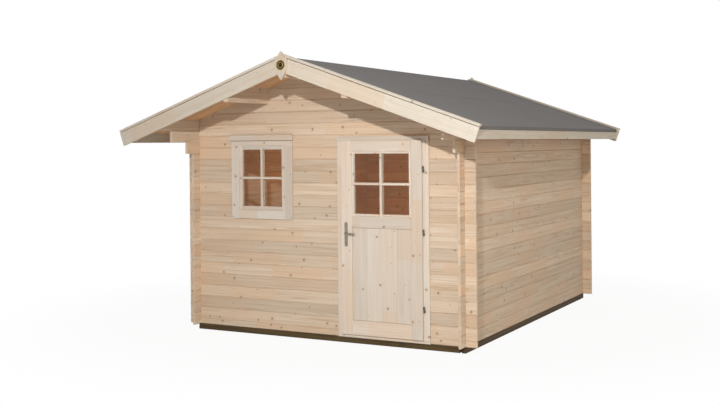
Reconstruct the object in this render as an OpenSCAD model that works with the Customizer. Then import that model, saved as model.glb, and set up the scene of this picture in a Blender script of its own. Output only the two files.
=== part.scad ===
// Summer house of interlocked log boards, with a gabled felt roof that
// overhangs the front, one glazed and panelled door and one window.
// Millimetres. +Z is up, the front faces -Y, and the origin is on the ground
// under the middle of the log walls.

/* [Log walls] */
// Width over the outer faces of the side walls
house_w = 3000; // [2500:50:3600]
// Depth over the outer faces of the front and rear walls
house_d = 3750; // [3000:50:4800]
// Height of a side wall's outer face above the ground
eaves_h = 2168; // [2160:1:2300]
// Thickness of a wall board
wall_t = 28; // [19:1:44]
// Height that one wall board covers
course_h = 118; // [100:1:140]
// How far the boards run on past each corner
log_end = 108; // [80:1:150]
// How far the upper of the two stepped boards runs out under the front roof
step_long = 455; // [300:5:520]
// How far the lower of the two stepped boards runs out
step_short = 205; // [150:5:280]

/* [Base and floor] */
// Height of the treated base beams
base_h = 57; // [40:1:80]
// Width of a base beam
base_w = 40; // [36:1:60]
// Gap left at the right end of the front and rear base beams
base_gap = 20; // [2:1:30]
// Number of floor joists
joists = 5; // [3:2:9]
// Width of a floor joist
joist_w = 44; // [30:1:60]
// Thickness of the floor boards
floor_t = 19; // [16:1:28]

/* [Roof] */
// Pitch of the roof in degrees
pitch = 19.3; // [15:0.1:25]
// Thickness of the roof boards
roof_t = 24; // [16:1:28]
// Thickness of the roofing felt
felt_t = 4; // [2:0.5:6]
// Length of felt folded down over the eaves board
felt_fold = 30; // [15:1:45]
// Reach of the roof boards past the side walls
eaves_out = 372; // [250:2:450]
// Reach of the front bargeboard's face past the front wall
porch_out = 707; // [600:1:900]
// Height of the eaves board
eaves_board_h = 112; // [90:1:140]
// Thickness of the eaves board
eaves_board_t = 20; // [16:1:28]
// Depth of a bargeboard, square to the slope
barge_d = 140; // [110:1:170]
// Thickness of a bargeboard
barge_t = 20; // [16:1:28]
// Length of bargeboard past the eaves board
barge_lip = 30; // [20:1:60]
// Width of the cover strip on top of a bargeboard
strip_w = 45; // [35:1:60]
// Thickness of the cover strip
strip_t = 24; // [16:1:30]

/* [Purlins] */
// Width of a purlin
purlin_w = 58; // [44:1:70]
// Depth of the ridge purlin below the peak
ridge_purlin_d = 163; // [120:1:180]
// Distance of a middle purlin's centre from the ridge
purlin_x = 641; // [500:1:700]
// Depth of a middle purlin at its centre
purlin_d = 146; // [100:1:160]

/* [Finials] */
// Width of a finial plate
finial_w = 124; // [90:1:140]
// Height of a finial plate
finial_h = 263; // [220:1:300]
// Thickness of a finial plate
finial_t = 20; // [14:1:28]
// Height that the finial's point stands above the cover strips
finial_up = 19; // [5:1:40]
// Diameter of the plain badge
badge_d = 96; // [60:1:110]
// Thickness of the badge
badge_t = 4; // [2:0.5:8]

/* [Window] */
// Position of the window's centre across the front
window_x = -691; // [-720:1:-640]
// Width of the window's clear opening
window_w = 551; // [450:1:600]
// Height of the window's clear opening
window_h = 650; // [500:1:670]
// Height of the opening's lower edge above the ground
window_z = 1255; // [1200:1:1265]
// Width of the window casing
casing_w = 88; // [60:1:100]
// Thickness of the window casing
casing_t = 22; // [16:1:28]
// Height of the drip cap over the window
cap_h = 62; // [40:1:70]
// How far the drip cap stands out past the casing
cap_out = 14; // [8:1:25]
// Thickness of the window lining in the wall
lining_t = 20; // [14:1:28]
// Width of a sash member
sash_w = 40; // [34:1:60]
// Depth of the sash
sash_t = 36; // [30:1:45]
// Thickness of the glass
glass_t = 4; // [3:0.5:6]

/* [Door] */
// Position of the door's centre across the front
door_x = 668; // [600:1:680]
// Width of the door leaf over its lips
leaf_w = 850; // [700:1:900]
// Height of the door leaf over its lips
leaf_h = 1854; // [1700:1:1860]
// Thickness of the whole leaf
leaf_t = 43; // [38:1:60]
// Thickness of the lip that laps over the frame
lip_t = 20; // [14:1:24]
// How far the lip laps over the frame
lip_lap = 9; // [6:1:14]
// Width of the frame's visible casing beside the leaf
frame_show = 60; // [40:1:80]
// Height of the frame's visible casing over the leaf
head_show = 40; // [30:1:60]
// Thickness of the frame's casing
frame_t = 20; // [16:1:28]
// Thickness of the frame's lining in the wall
jamb_t = 27; // [20:1:34]
// Height of the threshold
threshold_h = 29; // [20:1:40]
// Gap round the moving leaf
door_gap = 5; // [5:0.5:8]
// Width of a stile
stile_w = 112; // [90:1:130]
// Height of the bottom rail
bottom_rail = 137; // [110:1:170]
// Height of the middle rail
mid_rail = 110; // [90:1:140]
// Height of the top rail
top_rail = 102; // [80:1:140]
// Height of the middle rail's lower edge above the leaf's foot
mid_rail_z = 1024; // [900:1:1050]
// Width of the glazing beads
bead_w = 22; // [14:1:30]
// Thickness of the boarded lower panel
panel_t = 16; // [12:1:20]

/* [Ironwork] */
// Radius of a hinge knuckle
knuckle_r = 7; // [6:0.5:10]
// Radius of a hinge pin
pin_r = 4; // [3:0.5:5]
// Height of one hinge
hinge_h = 60; // [40:1:90]
// Heights of the hinges' middles above the leaf's foot
hinge_z = [284, 997, 1584]; // [60:1:1800]
// Distance of the handle plate's middle from the leaf's free edge
handle_in = 49; // [40:1:60]
// Height of the lever's spindle above the leaf's foot
spindle_z = 967; // [900:1:1050]
// Width of a handle plate
plate_w = 34; // [28:1:44]
// Height of a handle plate
plate_h = 235; // [180:1:260]
// Thickness of a handle plate
plate_t = 2.5; // [1.5:0.5:4]
// Length of the lever from the spindle
lever_l = 105; // [80:1:140]
// Radius of the lever and its neck
lever_r = 8; // [6:0.5:10]
// Distance of the lever's middle from the plate
lever_out = 38; // [30:1:60]

/* [Hidden] */

// colours
spruce = [0.86, 0.78, 0.66];
planed = [0.84, 0.80, 0.73];
treated = [0.32, 0.26, 0.16];
felt_grey = [0.47, 0.46, 0.47];
steel = [0.62, 0.60, 0.57];
dark_iron = [0.20, 0.18, 0.16];
pane = [0.55, 0.36, 0.24, 0.5];

// how much longer a cutting tool is than what it cuts
over = 1;
// clearance of a part that is set into a groove or an opening
seat = 0.3;
// clearance round a pin or a spindle
run = 0.4;
// clearance between sloped layers that lie on one another
lay = 0.05;
// depth of the groove that holds a pane
groove = 10;

// shares of a finial's height, down from its point
finial_shoulder = 0.28;
finial_waist = 0.65;
finial_middle = 0.48;
// how far the drip cap rises over the casing and runs past it
cap_rise = 26;
cap_side = 12;
// how far the sash and its pane lie behind the casing's face
sash_back = 8;
sash_pane_back = 22;
// how far the door's pane and boarded panel lie behind the leaf's face
pane_back = 18;
panel_back = 8;
bead_back = 2;
// height of a side wall's bevelled top board at least
top_board_min = 40;
// distance of the hinge knuckles from the leaf's edge
hinge_off = 6;
// plate of a hinge is thinner than its knuckle by this on each side
hinge_web = 2;
// free end of a hinge pin below the top of its knuckle
pin_short = 4;
// depth of the lock cylinder below the lever, and the rise of the plate's
// middle above the middle of the two
cylinder_down = 82;
plate_rise = 30;
// how far the lock cylinder stands out past a plate
cylinder_out = 3;
// gap between the floor boards and the walls
floor_edge = 2;

// walls, as planes
wall_x = house_w / 2;
wall_y = house_d / 2;
inner_x = wall_x - wall_t;
inner_y = wall_y - wall_t;
// underside of the roof boards at the ridge
peak = eaves_h + wall_x * tan(pitch);
// number of whole boards under the bevelled top board of a side wall
plate_course = floor((eaves_h - base_h - top_board_min) / course_h);
plate_z = base_h + plate_course * course_h;

// ends of the roof boards
porch_y = -wall_y - porch_out;
roof_front = porch_y + barge_t;
roof_rear = wall_y + log_end;
roof_x = wall_x + eaves_out;
felt_v = roof_t + felt_t;
strip_v = felt_v + strip_t;
// length of a bargeboard along the slope
barge_u = (roof_x + eaves_board_t) / cos(pitch) + barge_lip;
strip_peak = peak + strip_v / cos(pitch);

// window opening
win_l = window_x - window_w / 2;
win_r = window_x + window_w / 2;
win_top = window_z + window_h;
casing_face = -wall_y - casing_t;
sash_pane_y = casing_face + sash_pane_back;

// door leaf, its lips and the frame's clear opening
leaf_l = door_x - leaf_w / 2;
leaf_r = door_x + leaf_w / 2;
sill_z = base_h + threshold_h;
leaf_z = sill_z + door_gap;
leaf_top = leaf_z + leaf_h;
clear_l = leaf_l + lip_lap;
clear_r = leaf_r - lip_lap;
clear_top = leaf_top - lip_lap;
hole_l = clear_l - jamb_t;
hole_r = clear_r + jamb_t;
hole_top = clear_top + jamb_t;
frame_l = leaf_l - frame_show;
frame_r = leaf_r + frame_show;
frame_top = leaf_top + head_show;
// faces of the leaf, counted outwards from the wall's outer face
frame_face = -wall_y - frame_t;
lip_back = frame_face - door_gap;
leaf_face = lip_back - lip_t;
leaf_back = leaf_face + leaf_t;
body_l = clear_l + door_gap;
body_r = clear_r - door_gap;
body_top = clear_top - door_gap;

// openings in the leaf
open_l = leaf_l + stile_w;
open_w = leaf_w - 2 * stile_w;
panel_z = leaf_z + bottom_rail;
panel_top = leaf_z + mid_rail_z;
light_z = panel_top + mid_rail;
light_top = leaf_top - top_rail;
pane_y = leaf_face + pane_back;

// hinge line
hinge_x = leaf_r + knuckle_r + hinge_off;
hinge_y = leaf_face + knuckle_r;
// lever's spindle
lever_x = leaf_l + handle_in;
lever_z = leaf_z + spindle_z;
cylinder_z = lever_z - cylinder_down;
cylinder_r = 8.5;
spindle_r = 5;

// a box from its lowest corner to its highest
module block(low, high) {
    translate(low) cube(high - low);
}

// an outline drawn across the house, as X and Z, made solid from y0 to y1
module across(y0, y1) {
    translate([0, y1, 0])
        rotate([90, 0, 0])
            linear_extrude(height = y1 - y0)
                children();
}

// height of the roof boards' underside at distance x from the middle
function soffit(x) = peak - abs(x) * tan(pitch);
// a point of the right slope: u down the slope, v square to it from the underside
function slope(u, v) = [u * cos(pitch) + v * sin(pitch), peak - u * sin(pitch) + v * cos(pitch)];
// the point at distance x from the middle on the plane v above the underside
function level(x, v) = [x, peak + v / cos(pitch) - x * tan(pitch)];

// everything under the roof boards, as an outline across the house
module under_roof() {
    far = roof_x + eaves_out;
    polygon([[-far, 0], [far, 0], [far, soffit(far)], [0, peak], [-far, soffit(far)]]);
}

// one layer of the right slope between the planes v0 and v1, out to x
module layer(x, v0, v1) {
    polygon([level(0, v0), level(0, v1), level(x, v1), level(x, v0)]);
}

// left-hand copy of a right-hand piece
module on_side(side) {
    if (side < 0)
        mirror([1, 0, 0]) children();
    else
        children();
}

// base beams on the ground
module side_beam(side) {
    color(treated)
        on_side(side)
            block([wall_x - base_w, -wall_y, 0], [wall_x, wall_y, base_h]);
}

module cross_beam(y0) {
    side_in = wall_x - base_w;
    color(treated)
        block([-side_in, y0, 0], [side_in - base_gap, y0 + base_w, base_h]);
}

module base_beam_front() { cross_beam(-wall_y); }
module base_beam_rear() { cross_beam(wall_y - base_w); }
module base_beam_left() { side_beam(-1); }
module base_beam_right() { side_beam(1); }

// joists between the front and rear beams, one of them over the origin
module floor_joists() {
    pitch_x = (house_w - 2 * base_w - 2 * base_gap - joist_w) / (joists - 1);
    color(treated)
        for (i = [0 : joists - 1])
            translate([(i - (joists - 1) / 2) * pitch_x, 0, 0])
                block([-joist_w / 2, -wall_y + base_w, 0], [joist_w / 2, wall_y - base_w, base_h]);
}

module floor_boards() {
    x = inner_x - floor_edge;
    y = inner_y - floor_edge;
    color(spruce)
        block([-x, -y, base_h], [x, y, base_h + floor_t]);
}

// a side wall: whole boards between the log ends, two stepped boards and the
// bevelled top board, which reaches the front bargeboard
module side_wall(side) {
    front = -wall_y - log_end;
    rear = wall_y + log_end;
    high = peak;
    color(spruce)
        intersection() {
            on_side(side)
                translate([inner_x, 0, 0])
                    rotate([90, 0, 90])
                        linear_extrude(height = wall_t)
                            polygon([
                                [front, base_h], [rear, base_h], [rear, high], [roof_front, high],
                                [roof_front, plate_z],
                                [-wall_y - step_long, plate_z],
                                [-wall_y - step_long, plate_z - course_h],
                                [-wall_y - step_short, plate_z - course_h],
                                [-wall_y - step_short, plate_z - 2 * course_h],
                                [front, plate_z - 2 * course_h]
                            ]);
            across(roof_front, rear) under_roof();
        }
}

module left_wall() { side_wall(-1); }
module right_wall() { side_wall(1); }

// the ends of the front and rear wall boards, outside the side walls
module corner_log_ends() {
    color(spruce)
        for (side = [-1, 1])
            for (y0 = [-wall_y, inner_y])
                intersection() {
                    on_side(side)
                        block([wall_x, y0, base_h], [wall_x + log_end, y0 + wall_t, peak]);
                    across(y0, y0 + wall_t) under_roof();
                }
}

// front wall from the left wall to the doorway, with the window cut through
module front_wall_window_side() {
    color(spruce)
        difference() {
            block([-inner_x, -wall_y, base_h], [hole_l, -inner_y, hole_top]);
            block([win_l - lining_t, -wall_y - over, window_z - lining_t],
                  [win_r + lining_t, -inner_y + over, win_top + lining_t]);
            block([frame_l, -wall_y - over, 0], [hole_l + over, -inner_y + over, sill_z]);
        }
}

// front wall from the doorway to the right wall
module front_wall_hinge_side() {
    color(spruce)
        difference() {
            block([hole_r, -wall_y, base_h], [inner_x, -inner_y, hole_top]);
            block([hole_r - over, -wall_y - over, 0], [frame_r, -inner_y + over, sill_z]);
        }
}

// section of a middle purlin, on the right-hand side
module purlin_section() {
    x0 = purlin_x - purlin_w / 2;
    x1 = purlin_x + purlin_w / 2;
    low = soffit(purlin_x) - purlin_d;
    polygon([[x0, low], [x1, low], [x1, soffit(x1)], [x0, soffit(x0)]]);
}

module ridge_section() {
    x = purlin_w / 2;
    polygon([[-x, peak - ridge_purlin_d], [x, peak - ridge_purlin_d], [x, soffit(x)], [0, peak], [-x, soffit(x)]]);
}

// the three purlins' sections together
module purlin_sections() {
    ridge_section();
    purlin_section();
    mirror([1, 0]) purlin_section();
}

module front_gable() {
    color(spruce)
        across(-wall_y, -inner_y)
            difference() {
                intersection() {
                    translate([-inner_x, hole_top]) square([2 * inner_x, peak]);
                    under_roof();
                }
                purlin_sections();
            }
}

module rear_wall() {
    color(spruce)
        across(inner_y, wall_y)
            difference() {
                intersection() {
                    translate([-inner_x, base_h]) square([2 * inner_x, peak]);
                    under_roof();
                }
                purlin_sections();
            }
}

module ridge_purlin() { color(spruce) across(roof_front, roof_rear) ridge_section(); }
module purlin_right() { color(spruce) across(roof_front, roof_rear) purlin_section(); }
module purlin_left() { color(spruce) mirror([1, 0, 0]) across(roof_front, roof_rear) purlin_section(); }

// roof boards, with the two slopes mitred together at the ridge
module roof_boards(side) {
    color(spruce)
        on_side(side)
            across(roof_front, roof_rear)
                layer(roof_x, lay, roof_t);
}

module roof_boards_left() { roof_boards(-1); }
module roof_boards_right() { roof_boards(1); }

// roofing felt, folded down over the eaves board
module roof_felt(side) {
    out = roof_x + eaves_board_t;
    low = level(out, roof_t)[1] - felt_fold;
    color(felt_grey)
        on_side(side)
            across(roof_front, roof_rear)
                polygon([
                    level(0, roof_t + lay), level(0, felt_v), level(out + felt_t, felt_v),
                    [out + felt_t, low], [out, low], level(out, roof_t + lay)
                ]);
}

module roof_felt_left() { roof_felt(-1); }
module roof_felt_right() { roof_felt(1); }

// eaves boards, nailed to the ends of the roof boards
module eaves_boards() {
    out = roof_x + eaves_board_t;
    low = level(out, roof_t)[1] - eaves_board_h;
    color(spruce)
        for (side = [-1, 1])
            on_side(side)
                across(roof_front, roof_rear)
                    polygon([[roof_x, low], [out, low], level(out, roof_t), level(roof_x, roof_t)]);
}

// bargeboard with a plumb mitre at the ridge and a square cut at the eaves
module bargeboard(side, y0) {
    color(spruce)
        on_side(side)
            across(y0, y0 + barge_t)
                polygon([
                    level(0, felt_v), slope(barge_u, felt_v),
                    slope(barge_u, felt_v - barge_d), level(0, felt_v - barge_d)
                ]);
}

module bargeboard_front_left() { bargeboard(-1, porch_y); }
module bargeboard_front_right() { bargeboard(1, porch_y); }
module bargeboard_rear_left() { bargeboard(-1, roof_rear); }
module bargeboard_rear_right() { bargeboard(1, roof_rear); }

// cover strips over the joint of bargeboard and felt, a saw cut apart at the ridge
module cover_strips(y0) {
    saw = 0.2;
    color(spruce)
        for (side = [-1, 1])
            on_side(side)
                across(y0, y0 + strip_w)
                    polygon([
                        level(saw, felt_v + lay), level(saw, strip_v),
                        slope(barge_u, strip_v), slope(barge_u, felt_v + lay)
                    ]);
}

module cover_strips_front() { cover_strips(porch_y); }
module cover_strips_rear() { cover_strips(roof_rear + barge_t - strip_w); }

// pointed plate that covers the bargeboards' mitre
module finial_outline() {
    top = strip_peak + finial_up;
    shoulder = top - finial_h * finial_shoulder;
    waist = top - finial_h * finial_waist;
    half = finial_w / 2;
    polygon([
        [0, top], [half, shoulder], [half, waist], [0, top - finial_h], [-half, waist], [-half, shoulder]
    ]);
}

module finials() {
    color(spruce) {
        across(porch_y - finial_t, porch_y) finial_outline();
        across(roof_rear + barge_t, roof_rear + barge_t + finial_t) finial_outline();
    }
}

module finial_badge() {
    middle = strip_peak + finial_up - finial_h * finial_middle;
    color(dark_iron)
        translate([0, porch_y - finial_t, middle])
            rotate([90, 0, 0])
                cylinder(h = badge_t, d = badge_d, $fn = 64);
}

// an upright ring in the front wall's plane, with margin m round the window opening
module window_ring(m, opening, y0, y1) {
    difference() {
        block([win_l - m, y0, window_z - m], [win_r + m, y1, win_top + m]);
        block([win_l + opening, y0 - over, window_z + opening],
              [win_r - opening, y1 + over, win_top - opening]);
    }
}

module window_casing() {
    color(planed) window_ring(casing_w, 0, casing_face, -wall_y);
}

module window_drip_cap() {
    top = win_top + casing_w + cap_rise;
    side = casing_w + cap_side;
    color(planed)
        block([win_l - side, casing_face - cap_out, top - cap_h], [win_r + side, casing_face, top]);
}

// lining through the wall with its casing on the inside
module window_lining() {
    color(planed) {
        window_ring(lining_t, 0, -wall_y, -inner_y + lining_t);
        window_ring(casing_w, -lining_t, -inner_y, -inner_y + lining_t);
    }
}

// sash frame with a groove for the glass
module window_sash() {
    y0 = casing_face + sash_back;
    color(planed)
        difference() {
            window_ring(-seat, sash_w, y0, y0 + sash_t);
            window_pane(seat);
        }
}

// the pane in its grooves, or the space that it needs with a clearance round it
module window_pane(clear) {
    m = sash_w - groove - clear;
    block([win_l + m, sash_pane_y - clear, window_z + m],
          [win_r - m, sash_pane_y + glass_t + clear, win_top - m]);
}

module window_glass() { color(pane) window_pane(0); }

// door jamb that grips the wall's edge: casing outside, lining, casing inside
module jamb(side) {
    edge = side < 0 ? clear_l : clear_r;
    hole = side < 0 ? hole_l : hole_r;
    outer = side < 0 ? frame_l : frame_r;
    x0 = min(edge, outer);
    x1 = max(edge, outer);
    color(planed)
        union() {
            block([x0, frame_face, sill_z], [x1, -wall_y, clear_top]);
            block([min(edge, hole), -wall_y, sill_z], [max(edge, hole), -inner_y, clear_top]);
            block([x0, -inner_y, sill_z], [x1, -inner_y + frame_t, clear_top]);
        }
}

module door_jamb_left() { jamb(-1); }
module door_jamb_right() { jamb(1); }

module door_head() {
    color(planed)
        union() {
            block([frame_l, frame_face, clear_top], [frame_r, -wall_y, frame_top]);
            block([hole_l, -wall_y, clear_top], [hole_r, -inner_y, hole_top]);
            block([frame_l, -inner_y, clear_top], [frame_r, -inner_y + frame_t, frame_top]);
        }
}

module door_threshold() {
    color(planed)
        block([frame_l, frame_face, base_h], [frame_r, -inner_y, sill_z]);
}

// lower knuckles with their pins, on the frame
module frame_hinges() {
    half = hinge_h / 2;
    web = knuckle_r - hinge_web;
    color(dark_iron)
        for (z = hinge_z)
            translate([hinge_x, hinge_y, leaf_z + z])
                union() {
                    translate([0, 0, -half]) cylinder(h = half, r = knuckle_r, $fn = 48);
                    translate([0, 0, -half]) cylinder(h = hinge_h - pin_short, r = pin_r, $fn = 48);
                    block([-web, 0, -half], [web, frame_face - hinge_y, 0]);
                }
}

// upper knuckles, bored for the pins, on the leaf's edge
module leaf_hinges() {
    half = hinge_h / 2;
    web = knuckle_r - hinge_web;
    color(dark_iron)
        for (z = hinge_z)
            translate([hinge_x, hinge_y, leaf_z + z + seat])
                difference() {
                    union() {
                        cylinder(h = half, r = knuckle_r, $fn = 48);
                        block([leaf_r - hinge_x, -web, 0], [0, web, half]);
                    }
                    translate([0, 0, -over]) cylinder(h = half + 2 * over, r = pin_r + run, $fn = 48);
                }
}

// stiles and rails in one frame, lipped at the sides and the top
module door_leaf() {
    color(planed)
        difference() {
            union() {
                block([leaf_l, leaf_face, leaf_z], [leaf_r, lip_back, leaf_top]);
                block([body_l, lip_back, leaf_z], [body_r, leaf_back, body_top]);
            }
            block([open_l, leaf_face - over, panel_z], [open_l + open_w, leaf_back + over, panel_top]);
            block([open_l, leaf_face - over, light_z], [open_l + open_w, leaf_back + over, light_top]);
            across_bore(lever_x, lever_z, spindle_r + run, leaf_face, leaf_back);
            across_bore(lever_x, cylinder_z, cylinder_r + seat, leaf_face, leaf_back);
        }
}

// a bore along Y that runs out past both faces
module across_bore(x, z, r, y0, y1) {
    translate([x, y0 - over, z])
        rotate([-90, 0, 0])
            cylinder(h = y1 - y0 + 2 * over, r = r, $fn = 48);
}

module door_panel() {
    y0 = leaf_face + panel_back;
    color(planed)
        block([open_l + seat, y0, panel_z + seat], [open_l + open_w - seat, y0 + panel_t, panel_top - seat]);
}

// beads round the glass, grooved for it
module door_beads() {
    color(planed)
        difference() {
            door_light(seat, leaf_face + bead_back, leaf_back - bead_back);
            door_light(bead_w, leaf_face - over, leaf_back + over);
            door_pane(seat);
        }
}

// the leaf's glazed opening less a margin, from y0 to y1
module door_light(m, y0, y1) {
    block([open_l + m, y0, light_z + m], [open_l + open_w - m, y1, light_top - m]);
}

// the pane in its grooves, or the space that it needs with a clearance round it
module door_pane(clear) {
    door_light(bead_w - groove - clear, pane_y - clear, pane_y + glass_t + clear);
}

module door_glass() { color(pane) door_pane(0); }

// a handle plate with round ends, upright, its back on y = 0
module plate() {
    r = plate_w / 2;
    middle = (lever_z + cylinder_z) / 2 + plate_rise;
    half = plate_h / 2 - r;
    difference() {
        union() {
            translate([lever_x - r, -plate_t, middle - half]) cube([plate_w, plate_t, 2 * half]);
            for (z = [-half, half])
                translate([lever_x, 0, middle + z])
                    rotate([90, 0, 0])
                        cylinder(h = plate_t, r = r, $fn = 64);
        }
        across_bore(lever_x, lever_z, spindle_r + run, -plate_t, 0);
        across_bore(lever_x, cylinder_z, cylinder_r + seat, -plate_t, 0);
    }
}

module handle_plates() {
    color(steel) {
        translate([0, leaf_face, 0]) plate();
        translate([0, leaf_back + plate_t, 0]) plate();
    }
}

module lock_cylinder() {
    past = plate_t + cylinder_out;
    color(steel)
        translate([lever_x, leaf_face - past, cylinder_z])
            rotate([-90, 0, 0])
                cylinder(h = leaf_t + 2 * past, r = cylinder_r, $fn = 48);
}

// spindle with a neck and a lever on each side of the leaf
module door_lever() {
    front = leaf_face - plate_t;
    back = leaf_back + plate_t;
    color(steel)
        union() {
            translate([lever_x, front - lever_out, lever_z])
                rotate([-90, 0, 0])
                    cylinder(h = back - front + 2 * lever_out, r = spindle_r, $fn = 48);
            for (y = [front - lever_out, back + lever_out])
                translate([lever_x, y, lever_z]) {
                    sphere(r = lever_r, $fn = 48);
                    rotate([0, 90, 0]) cylinder(h = lever_l, r = lever_r, $fn = 48);
                    translate([lever_l, 0, 0]) sphere(r = lever_r, $fn = 48);
                }
        }
}

base_beam_front();
base_beam_rear();
base_beam_left();
base_beam_right();
floor_joists();
floor_boards();
left_wall();
right_wall();
front_wall_window_side();
front_wall_hinge_side();
front_gable();
rear_wall();
corner_log_ends();
ridge_purlin();
purlin_left();
purlin_right();
roof_boards_left();
roof_boards_right();
roof_felt_left();
roof_felt_right();
eaves_boards();
bargeboard_front_left();
bargeboard_front_right();
bargeboard_rear_left();
bargeboard_rear_right();
cover_strips_front();
cover_strips_rear();
finials();
finial_badge();
window_casing();
window_drip_cap();
window_lining();
window_sash();
window_glass();
door_jamb_left();
door_jamb_right();
door_head();
door_threshold();
frame_hinges();
door_leaf();
door_panel();
door_beads();
door_glass();
leaf_hinges();
handle_plates();
lock_cylinder();
door_lever();
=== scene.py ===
# A garden summer house of interlocked spruce log boards, built piece by piece in
# the order in which it is put together. Metres, +Z up, the front faces -Y.
import math
import random

import bmesh
import bpy
from mathutils import Matrix, Vector


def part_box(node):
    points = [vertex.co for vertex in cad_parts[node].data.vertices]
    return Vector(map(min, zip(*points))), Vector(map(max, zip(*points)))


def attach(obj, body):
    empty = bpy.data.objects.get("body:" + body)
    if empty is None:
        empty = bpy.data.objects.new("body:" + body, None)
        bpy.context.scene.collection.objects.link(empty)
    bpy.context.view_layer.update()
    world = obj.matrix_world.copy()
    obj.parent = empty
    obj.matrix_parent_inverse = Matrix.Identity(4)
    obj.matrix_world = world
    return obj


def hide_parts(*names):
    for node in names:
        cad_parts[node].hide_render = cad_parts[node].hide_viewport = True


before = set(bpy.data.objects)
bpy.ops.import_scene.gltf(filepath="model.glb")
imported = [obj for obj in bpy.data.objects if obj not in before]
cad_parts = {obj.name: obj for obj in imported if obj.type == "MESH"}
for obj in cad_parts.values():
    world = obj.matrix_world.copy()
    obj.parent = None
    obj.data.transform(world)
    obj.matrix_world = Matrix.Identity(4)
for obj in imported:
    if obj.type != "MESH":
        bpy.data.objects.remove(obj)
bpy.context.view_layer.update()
scene = bpy.context.scene


# ---- Camera ---------------------------------------------------------------
# A 52 mm lens at eye height, in front of the house and to its right. The back
# of the camera is lowered a little, as on a view camera, to keep walls upright.
EYE = Vector((5.1275, -10.605, 1.9187))
EYE_TURN = 0.49394
EYE_TILT = -0.00393
EYE_ROLL = -0.00905
lens = bpy.data.cameras.new("camera")
lens.sensor_width = 36.0
lens.lens = 51.84
lens.shift_y = -0.0764
camera = bpy.data.objects.new("camera", lens)
camera.matrix_world = (
    Matrix.Translation(EYE)
    @ Matrix.Rotation(EYE_TURN, 4, "Z")
    @ Matrix.Rotation(math.pi / 2 + EYE_TILT, 4, "X")
    @ Matrix.Rotation(EYE_ROLL, 4, "Z")
)
scene.collection.objects.link(camera)
scene.camera = camera
scene.view_settings.view_transform = "Standard"


# ---- Studio ---------------------------------------------------------------
# A pale floor that fades into a white backdrop, even light from all round, a
# lamp at the front right, a warm soft one at the right, a wide soft one at the
# back left and a warm one in the room.
def node(tree, kind, **settings):
    made = tree.nodes.new(kind)
    for key, value in settings.items():
        setattr(made, key, value)
    return made


def lamp(name, kind, place, energy, colour, **settings):
    data = bpy.data.lights.new(name, kind)
    data.energy = energy
    data.color = colour
    for key, value in settings.items():
        setattr(data, key, value)
    made = bpy.data.objects.new(name, data)
    made.location = place
    aim = Vector((0, 0, 1.2)) - Vector(place)
    made.rotation_euler = aim.to_track_quat("-Z", "Y").to_euler()
    scene.collection.objects.link(made)


lamp("key", "AREA", (3.3, -8.5, 3.75), 335, (1.0, 0.97, 0.94), shape="DISK", size=0.14)
lamp("fill", "AREA", (9.0, -2.0, 3.6), 105, (1.0, 0.80, 0.53), shape="DISK", size=3.0)
lamp("back", "SUN", (-4.5, 5.0, 6.5), 0.55, (1.0, 0.99, 0.97), angle=0.9)
lamp("room", "POINT", (-0.2, 0.3, 1.5), 20, (1.0, 0.47, 0.13), shadow_soft_size=0.25)

world = bpy.data.worlds.new("studio")
scene.world = world
world.use_nodes = True
tree = world.node_tree
tree.nodes.clear()
ambient = node(tree, "ShaderNodeBackground")
ambient.inputs["Color"].default_value = (1.0, 0.985, 0.96, 1)
ambient.inputs["Strength"].default_value = 0.29
white = node(tree, "ShaderNodeBackground")
white.inputs["Color"].default_value = (1, 1, 1, 1)
white.inputs["Strength"].default_value = 1.0
path = node(tree, "ShaderNodeLightPath")
seen = node(tree, "ShaderNodeMath", operation="MAXIMUM")
tree.links.new(path.outputs["Is Camera Ray"], seen.inputs[0])
tree.links.new(path.outputs["Is Glossy Ray"], seen.inputs[1])
through = node(tree, "ShaderNodeMath", operation="MAXIMUM")
tree.links.new(seen.outputs[0], through.inputs[0])
tree.links.new(path.outputs["Is Transmission Ray"], through.inputs[1])
blend = node(tree, "ShaderNodeMixShader")
tree.links.new(through.outputs[0], blend.inputs[0])
tree.links.new(ambient.outputs[0], blend.inputs[1])
tree.links.new(white.outputs[0], blend.inputs[2])
out = node(tree, "ShaderNodeOutputWorld")
tree.links.new(blend.outputs[0], out.inputs[0])

FLOOR_R = 60.0
bm = bmesh.new()
bmesh.ops.create_circle(bm, cap_ends=True, radius=FLOOR_R, segments=64)
mesh = bpy.data.meshes.new("studio_floor")
bm.to_mesh(mesh)
bm.free()
floor = bpy.data.objects.new("studio_floor", mesh)
scene.collection.objects.link(floor)
pale = bpy.data.materials.new("studio_floor")
pale.use_nodes = True
tree = pale.node_tree
tree.nodes.clear()
matt = node(tree, "ShaderNodeBsdfDiffuse")
matt.inputs["Color"].default_value = (0.82, 0.82, 0.82, 1)
glow = node(tree, "ShaderNodeEmission")
path = node(tree, "ShaderNodeLightPath")
where = node(tree, "ShaderNodeTexCoord")
far = node(tree, "ShaderNodeVectorMath", operation="LENGTH")
tree.links.new(where.outputs["Object"], far.inputs[0])
fade = node(tree, "ShaderNodeMapRange", interpolation_type="SMOOTHSTEP")
fade.inputs["From Min"].default_value = 2.3
fade.inputs["From Max"].default_value = 5.2
fade.inputs["To Min"].default_value = 0.93
tree.links.new(far.outputs["Value"], fade.inputs["Value"])
seen = node(tree, "ShaderNodeMath", operation="MAXIMUM")
tree.links.new(path.outputs["Is Camera Ray"], seen.inputs[0])
tree.links.new(path.outputs["Is Glossy Ray"], seen.inputs[1])
through = node(tree, "ShaderNodeMath", operation="MAXIMUM")
tree.links.new(seen.outputs[0], through.inputs[0])
tree.links.new(path.outputs["Is Transmission Ray"], through.inputs[1])
share = node(tree, "ShaderNodeMath", operation="MULTIPLY")
tree.links.new(fade.outputs[0], share.inputs[0])
tree.links.new(through.outputs[0], share.inputs[1])
blend = node(tree, "ShaderNodeMixShader")
tree.links.new(share.outputs[0], blend.inputs[0])
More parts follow.
